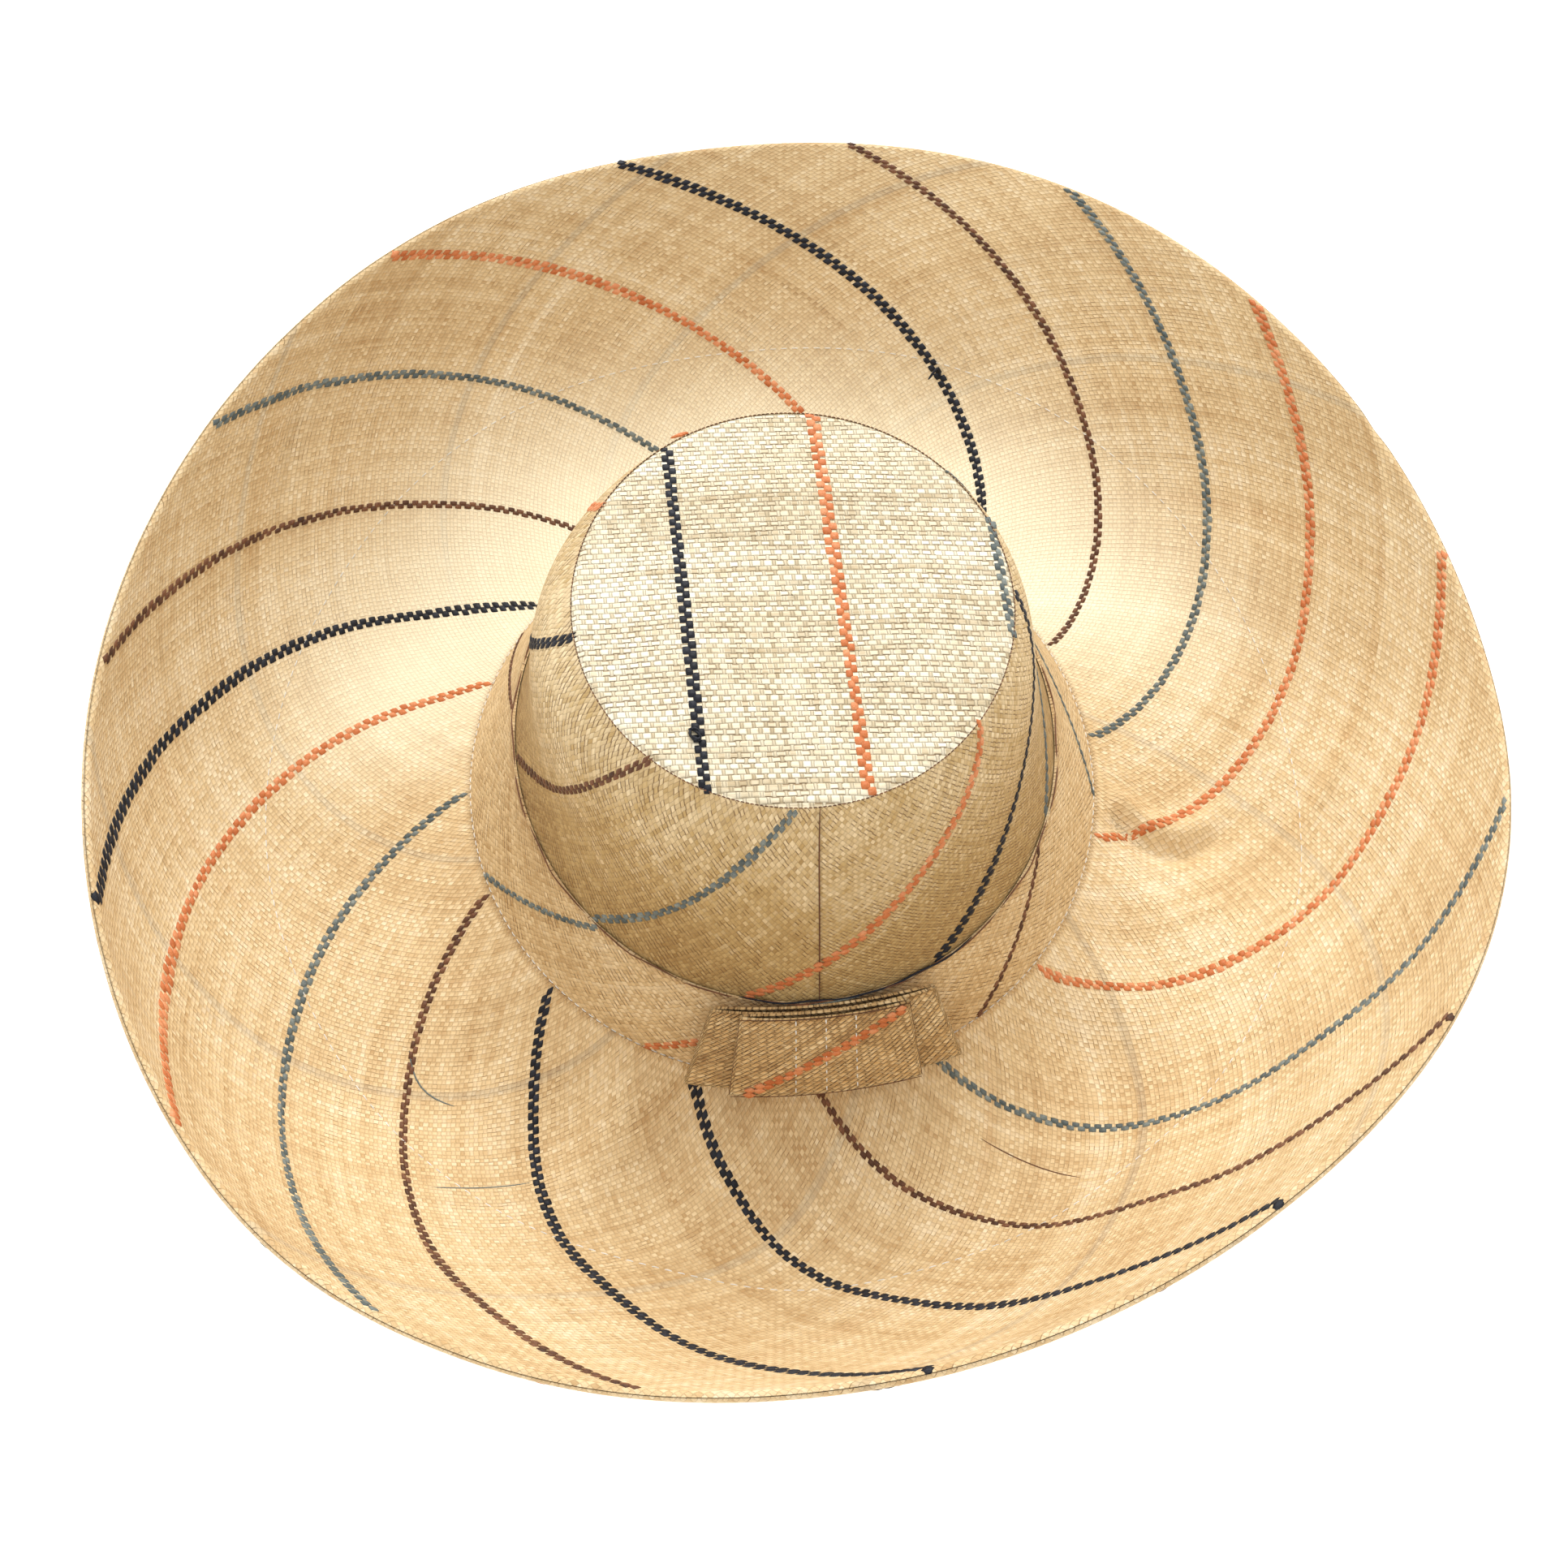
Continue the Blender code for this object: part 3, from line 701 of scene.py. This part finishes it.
# -------------------------------- brim
def brim_layer(side):
    """Four panels; side 1 is the top layer and -1 the one under it, with its threads crossed."""
    arc = RIM_SHARE - RIM_RADIUS / BRIM_WIDTH * (1.0 - cos(np.linspace(90.0, 8.0, 7)))
    flat = np.linspace(BRIM_START, RIM_SHARE - 0.010, 72)
    shares = np.concatenate([flat[flat < arc[0] - 0.004], arc])
    top = brim_top(shares)
    floor = np.minimum(LAYER_OFFSET, top - 0.0001)
    word = "top" if side > 0 else "under"
    share = shares[None, :]
    panel = 360.0 / PANELS
    for number in range(PANELS):
        # a narrow first and last strip keeps the walls' shading off the seams
        first = PANEL_START - panel * number
        a = np.concatenate([[first], np.linspace(first - 0.01, first - panel + 0.01, 148),
                            [first - panel]])[:, None]
        angle = side * (a - swirl(share))
        outer = on_brim(angle, share, side * top[None, :])
        inner = on_brim(angle, share, side * floor[None, :])
        weave = pack(a * BRIM_THREADS, (a - 2.0 * swirl(share)) * BRIM_THREADS)
        if side > 0:
            outer, inner, weave = outer[::-1], inner[::-1], weave[::-1]
        made = shell(f"brim_{word}_{number + 1}", outer, inner, weave, "brim")
        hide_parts(f"brim_{word}_panel_{number + 1}")


def brim_stripes():
    """The dyed yarns of both layers, one piece for each colour and layer."""
    reach = 2.0 * swirl(0.0) - BARE_FOOT
    for side, word, shift, bare in ((1, "top", 0.0, BARE_RIM),
                                    (-1, "under", -UNDER_SHIFT, BARE_UNDER_RIM)):
        place = brim_place(side)
        for ink in YARN:
            grids = []
            for panel in BRIM_STRIPES:
                for colour, angle in panel:
                    if colour == ink:
                        u = (angle + shift) * BRIM_THREADS
                        ends = (u - reach * BRIM_THREADS, u - bare)
                        grids.append(stripe(place, u, ends, YARN[ink], YARN_SUNK))
            grids = np.concatenate(grids)
            pillows(f"brim_{word}_{ink}", grids if side > 0 else grids[:, ::-1], ink)


def brim_ring():
    """The white stitched ring that holds the brim's two layers together."""
    starts, length, radius = np.arange(0.0, 360.0, 1.35), 0.95, 0.00016
    for side, word in ((1, "top"), (-1, "under")):
        def path(t, rise):
            return on_brim(t, STITCH_SHARE, side * (RIM_RADIUS + rise))
        made = stitches(f"brim_ring_{word}", path, starts, length, STITCH_SINK, radius,
                        "thread")
        if side > 0:
            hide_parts("brim_stitching")


# -------------------------------- crown
def shoulder(angle, inset, height):
    """A point where the side's cloth rolls over onto the tip."""
    return pack(CROWN_LEAN + (TIP_RING[0] - inset) * cos(angle),
                (TIP_RING[1] - inset) * sin(angle), CROWN_HEIGHT + height)


# The shoulder's inset and height, point by point, and how far apart its points are along it.
SHOULDER = ((0.0000, 0.0000), (0.00004, 0.0003), (0.00018, 0.00045), (0.00035, 0.0004),
            (0.00045, 0.0001))
SHOULDER_STEP, SIDE_LENGTH = 0.0003, 0.0964


def crown_side(name, side, start, end, node):
    """Half of the crown's side, drawn in along its seams and rolled over at the tip."""
    shares = np.linspace(0.0, 0.985, 60)[None, :]
    angles = np.linspace(start + 0.06, end - 0.06, 140)[:, None]
    to_seam = np.minimum(angles - start, end - angles)
    sunk = SEAM_SINK * (1.0 - ramp(to_seam, 0.0, 0.5))
    outer = on_crown(angles, shares, -sunk)
    inner = on_crown(angles, shares, -CLOTH - sunk * 0.3)
    rolled = np.stack([shoulder(angles[:, 0], e, h) for e, h in SHOULDER], axis=1)
    lower = np.stack([shoulder(angles[:, 0], e + CLOTH, h - 0.0004) for e, h in SHOULDER], axis=1)
    outer, inner = np.concatenate([outer, rolled], 1), np.concatenate([inner, lower], 1)
    past = 1.0 + SHOULDER_STEP / SIDE_LENGTH * np.arange(1, len(SHOULDER) + 1)
    turn = bias(side, np.concatenate([shares[0], past])[None, :])
    weave = pack((angles + turn) * CROWN_THREADS, (angles - turn) * CROWN_THREADS)
    made = shell(name, outer, inner, weave, "crown")
    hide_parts(node)


def crown_lining(name, start, end, node):
    shares = np.linspace(0.01, 0.995, 24)[None, :]
    angles = np.linspace(start, end, 90)[:, None]
    top = -(CLOTH + GAP)
    weave = pack(angles / LINING_PITCH, shares * LINING_ROWS)
    made = shell(name, on_crown(angles, shares, top), on_crown(angles, shares, top - CLOTH),
                 weave, "lining")
    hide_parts(node)


def ring_cloth(name, layer, low, high, look, node, weave_of):
    """A cloth that goes all the way round the crown's side, some layers out from it."""
    shares = np.linspace(low, high, 16)[None, :]
    turns = SEAM_ANGLE + np.linspace(0.0, 360.0, 221)[:, None]
    top = layer * (CLOTH + GAP)
    angles = turns[:-1]
    made = shell(name, on_crown(angles, shares, top), on_crown(angles, shares, top - CLOTH),
                 weave_of(turns, shares), look, closed=True)
    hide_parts(node)


def tip_disc(name, inset, top, look, node):
    """A domed oval disc of cloth, its rings of points closer towards the seam."""
    rings = np.concatenate([[0.001], np.linspace(0.03, 0.93, 34),
                            [0.945, 0.96, 0.972, 0.984, 0.993]])
    rings = rings[None, :] * (1.0 - inset / TIP_RING[0])
    turns = np.linspace(0.0, 360.0, 129)[:, None]
    x = CROWN_LEAN + TIP_RING[0] * rings * cos(turns)
    y = TIP_RING[1] * rings * sin(turns)
    upper = on_tip(x, y, top - TIP_TOP)[:-1]
    lower = on_tip(x, y, top - TIP_TOP - CLOTH)[:-1]
    made = shell(name, upper, lower, pack(*tip_threads(x, y)), look, closed=True)
    made.data.flip_normals()
    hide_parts(node)


def crown():
    """The crown's side, tip and linings, the sweatband and the band."""
    half = SEAM_ANGLE + 180.0
    crown_side("crown_side_a", "right", SEAM_ANGLE, half, "crown_side_right")
    crown_side("crown_side_b", "left", half - 360.0, SEAM_ANGLE, "crown_side_left")
    crown_lining("crown_lining_a", SEAM_ANGLE + 0.1, half - 0.1, "crown_lining_right")
    crown_lining("crown_lining_b", half + 0.1, half + 179.9, "crown_lining_left")
    tip_disc("crown_top", 0.0, TIP_TOP, "tip", "crown_tip")
    tip_disc("crown_top_lining", 2.0 * (CLOTH + GAP) + GAP, CROWN_HEIGHT, "lining",
             "crown_tip_lining")
    ring_cloth("inner_band", -2, 0.02, SWEATBAND_HEIGHT / CROWN_HEIGHT, "lining", "sweatband",
               lambda a, s: pack(a * SWEATBAND_THREADS, s * LINING_ROWS))
    ring_cloth("band", 1, -0.012, BAND_TOP, "band", "hat_band",
               lambda a, s: pack((a - BAND_SLANT * s) * BAND_THREADS,
                                 (a + BAND_SLANT * s) * BAND_THREADS))


def crown_stripes():
    """The dyed yarns of the side and of the band, one piece for each colour, and the tip's."""
    for ink in YARN:
        grids = []
        for side, stripes in SIDE_STRIPES.items():
            for colour, angle in stripes:
                if colour == ink:
                    u = angle * CROWN_THREADS
                    ends = [u - 2.0 * bias(side, share) * CROWN_THREADS
                            for share in (SIDE_FOOT, 1.0)]
                    grids.append(stripe(crown_place(side), u, ends, YARN[ink], CROWN_YARN_SUNK))
        for colour, angle in BAND_STRIPES:
            if colour == ink:
                u = angle * BAND_THREADS
                ends = [u + 2.0 * BAND_SLANT * share * BAND_THREADS
                        for share in (0.01, BAND_TOP - 0.004)]
                grids.append(stripe(band_place, u, ends, 0.75 * YARN[ink], CROWN_YARN_SUNK))
        pillows(f"crown_{ink}", np.concatenate(grids), ink)
    for ink, x, width in TIP_STRIPES:
        reach = 0.99 * TIP_RING[1] * np.sqrt(1.0 - ((x - CROWN_LEAN) / TIP_RING[0]) ** 2)
        u, middle = tip_threads(x, 0.0)
        ends = (middle - reach / TIP_WEFT, middle + reach / TIP_WEFT)
        grids = stripe(tip_place, u, ends, width, CROWN_YARN_SUNK, pitch=TIP_WEFT)
        pillows(f"tip_{ink}", grids, ink)


# Strands along the band's upper edge, the brown one all round it partly painted shade along the
# edge's fold: colour, where they start and end, radius, how far they stray over the edge as a
# share of the crown's height, and the phase of their waves.
EDGE_STRANDS = (("brown", -270.0, 90.0, 0.00022, 0.0, 0.3),
                ("black", -108.0, -58.0, 0.00030, 0.003, 2.1),
                ("grey", -97.0, -74.0, 0.00026, -0.003, 4.4))


def crown_threads():
    """The band's lower stitching, the tip's seam and the strands along the band's edge, the brown
    one partly painted shade.
    """
    lift = CLOTH + GAP
    made = stitches("band_stitches", lambda t, rise: on_crown(t, 0.012, lift + rise),
                    np.arange(0.0, 360.0, 1.6), 1.3, STITCH_SINK, 0.00015, "thread")
    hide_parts("band_stitching")
    stitches("tip_seam", lambda t, rise: shoulder(t, 0.00030, 0.00048 + rise),
             np.arange(0.0, 360.0, 1.2), 0.95, 0.0003, 0.00016, "brown")
    for ink, first, last, radius, drift, phase in EDGE_STRANDS:
        turns = np.linspace(first, last, int(2.2 * (last - first)))
        wave = 0.0022 * np.sin(np.radians(turns) * 31.0 + phase) + drift
        swing = lift - 0.0002 + 0.00025 * np.cos(np.radians(turns) * 19.0 + phase)
        tubes(f"band_edge_{ink}", [on_crown(turns, BAND_TOP + wave, swing)], radius, ink)


# -------------------------------- bow
BOW_DEPTH, BOW_PUFF = 2.0 * CLOTH + 2.0 * GAP, 0.0005
BACK_LIFT = CLOTH + 3.0 * GAP         # from the crown to each loop's inner face
FRONT_LIFT = BACK_LIFT + BOW_DEPTH + 1.5 * GAP


def on_bow(loop, along, rise, lift):
    """A point on a loop, at a distance from the bow's middle and a share of its height."""
    share = (loop["low"] + (loop["high"] - loop["low"]) * rise) / CROWN_HEIGHT
    deep = crown_halves(share)[1]
    angle = -90.0 + np.degrees((BOW_MIDDLE + along) / deep)
    flat = BOW_FLATNESS * along * along / (2.0 * deep)
    return on_crown(angle, share, lift + loop["flare"] * (1.0 - rise) + flat)


def bow_half(loop, rise):
    """Half the loop's width at a share of its height."""
    return loop["halves"][0] + (loop["halves"][1] - loop["halves"][0]) * rise


def bow_loop(name, loop, inside, node):
    """A flattened loop of cloth, open at its top and its bottom."""
    across, up, ends = 30, 16, 6
    rise = np.linspace(0.0, 1.0, up)[None, :]
    half = bow_half(loop, rise) - 0.5 * BOW_DEPTH
    middle = inside + 0.5 * BOW_DEPTH
    grids = []
    full = 0.5 * BOW_DEPTH - 0.00025 * (2.0 * rise - 1.0) ** 6
    for radius in (full, full - CLOTH):
        columns = []
        for way in (1.0, -1.0):
            for k in np.linspace(-1.0, 1.0, across):
                puff = BOW_PUFF * (1.0 - k ** 4) * way
                columns.append((way * half * k, middle - way * radius - puff))
            for k in range(1, ends):
                turn = 180.0 * k / ends
                columns.append((way * (half + radius * sin(turn)),
                                middle - way * radius * cos(turn)))
        along = np.concatenate([c[0] for c in columns])
        lift = np.concatenate([c[1] for c in columns])
        grids.append(on_bow(loop, along, rise, lift))
    lengths = np.linspace(0.0, 4.0 * loop["halves"][0], len(grids[0]) + 1)[:, None]
    height = (loop["high"] - loop["low"]) * rise
    weave = pack((lengths * sin(29.0) - height * cos(29.0)) / BOW_PITCH,
                 (lengths * sin(40.0) + height * cos(40.0)) / BOW_PITCH)
    made = shell(name, *grids, weave, "bow", closed=True)
    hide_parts(node)
    4.05 * sum(loop["halves"]) / 2.0


def bow_face(x, rise, lift):
    """A point on the outer face of the front loop, or lift above it."""
    return on_bow(FRONT_LOOP, x, rise, lift + FRONT_LIFT + BOW_DEPTH + BOW_PUFF)


def bow():
    """The two loops, the front loop's stripe, and the threads along it and through it; those along
    it are partly painted shade.
    """
    bow_loop("bow_back", BACK_LOOP, BACK_LIFT, "bow_back_loop")
    bow_loop("bow_front", FRONT_LOOP, FRONT_LIFT, "bow_front_loop")
    threads, row_gap = 34.0, 0.0081

    def place(u, v, lift):
        """u counts threads across the stripe, v those along it from corner to corner."""
        return bow_face(-0.0215 + 0.0430 * v / threads + u * 0.0009,
                        0.03 + 0.94 * v / threads - u * 0.025, lift)
    grids = stripe(place, 0.0, (0.3, threads - 0.3), YARN["orange"], YARN_SUNK)
    pillows("bow_orange", grids, "orange")
    # dark threads along the front loop's folds and its raw edges: partly the threads there, partly
    # painted shade that outlines them
    up, aside = np.linspace(0.0, 1.0, 12), np.linspace(-1.0, 1.0, 12)
    tubes("bow_fold_threads_and_shade", [bow_face(way * (bow_half(FRONT_LOOP, up) - 0.0004), up, -0.0010)
                        for way in (-1.0, 1.0)], 0.00016, "brown")
    tubes("bow_edge_threads_and_shade", [bow_face(aside * FRONT_LOOP["halves"][k] * 0.97, float(k), -0.0003)
                        for k in (0, 1)], 0.00018, "brown")
    for row in range(3):
        x = row_gap * (row - 1)
        made = stitches(f"bow_stitches_{row + 1}", lambda t, rise: bow_face(x, t, rise),
                        np.linspace(0.05, 0.93, 9), 0.055, STITCH_SINK, 0.0002, "thread")
        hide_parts(f"bow_stitching_{row + 1}")


def strays():
    """The front seam's thread, loose ends of yarn and the knot on the tip's black stripe."""
    share = np.linspace(BAND_TOP, 0.999, 40)
    tubes("front_seam", [on_crown(SEAM_ANGLE, share, -0.0001)], 0.00022, "brown")
    t = np.linspace(0.0, 1.0, 9)          # along each stray
    thin, thick = 0.00025, 0.00045
    tubes("stray_black", [on_brim(61.6 + 1.2 * t, 0.458 + 0.02 * np.sin(4.0 * t),
                                  0.0016 + 0.0030 * t)], thick, "black")
    tubes("stray_grey", [on_brim(209.5 + 8.9 * t, 0.345 + 0.03 * np.sin(3.0 * t), 0.0014),
                         on_brim(224.0 + 8.0 * t, 0.54 - 0.16 * t, 0.0013)], thin, "grey")
    tubes("stray_brown", [on_brim(289.0 + 7.0 * t, 0.22 + 0.21 * t, 0.0013)], thin, "brown")
    tubes("stray_orange", [on_crown(110.5 + k + 2.0 * t, 0.985 - 0.03 * t * t, 0.0004 + 0.001 * t)
                           for k in (-0.8, 0.0, 0.8)], 0.0004, "orange")
    knot = [on_tip(-0.0273 + 0.0013 * np.cos(6.0 * t + k), -0.0382 + 0.0017 * np.sin(5.0 * t + k),
                   0.0006 + 0.0005 * np.sin(9.0 * t)) for k in (0.0, 2.0, 4.0)]
    tubes("tip_knot", knot, 0.00035, "black")


# -------------------------------- stage, light and camera
def stage():
    """A pale floor just under the hat, which glows enough to read as white."""
    look = Look("floor", 0.9)
    look.colour((0.93, 0.93, 0.93, 1.0))
    look.shader.inputs["Emission Color"].default_value = (1.0, 1.0, 1.0, 1.0)
    look.shader.inputs["Emission Strength"].default_value = 0.55
    mesh = bpy.data.meshes.new("floor")
    half, level = 4.0, -0.0008
    mesh.from_pydata([(x * half, y * half, level) for x, y in
                      ((-1, -1), (1, -1), (1, 1), (-1, 1))], [], [(0, 1, 2, 3)])
    mesh.materials.append(look.made)
    floor = bpy.data.objects.new("floor", mesh)
    bpy.context.scene.collection.objects.link(floor)


def light():
    """White light from all round, and a wide soft lamp over the back of the hat."""
    world = bpy.data.worlds.new("studio")
    world.use_nodes = True
    background = world.node_tree.nodes["Background"].inputs
    background["Color"].default_value = (1.0, 1.0, 1.0, 1.0)
    background["Strength"].default_value = 0.95
    bpy.context.scene.world = world
    lamp = bpy.data.lights.new("softbox", "SUN")
    lamp.energy = 2.45
    lamp.angle = np.radians(45.0)
    made = bpy.data.objects.new("softbox", lamp)
    made.rotation_mode = "QUATERNION"
    made.rotation_quaternion = Vector((0.12, 1.15, 1.10)).to_track_quat("Z", "Y")
    bpy.context.scene.collection.objects.link(made)
    bpy.context.scene.view_settings.view_transform = "Standard"


def camera():
    """Above the front of the hat, a little to the wearer's right."""
    azimuth, elevation, distance = -8.0, 60.0, 0.7045
    aside, above = 0.000716, -0.00191     # from the line through the hat's own origin
    back = Vector((sin(azimuth) * cos(elevation), -cos(azimuth) * cos(elevation),
                   sin(elevation)))
    right = Vector((cos(azimuth), sin(azimuth), 0.0))
    up = back.cross(right)
    made = bpy.data.objects.new("camera", bpy.data.cameras.new("camera"))
    made.data.sensor_width, made.data.lens = 36.0, 54.97
    made.data.clip_start = 0.01
    made.location = Vector(ORIGIN) + distance * back + aside * right + above * up
    made.rotation_mode = "QUATERNION"
    made.rotation_quaternion = back.to_track_quat("Z", "Y")
    bpy.context.scene.collection.objects.link(made)
    bpy.context.scene.camera = made


camera()
light()
stage()
brim_layer(1)
brim_layer(-1)
brim_stripes()
brim_ring()
crown()
crown_stripes()
crown_threads()
bow()
strays()
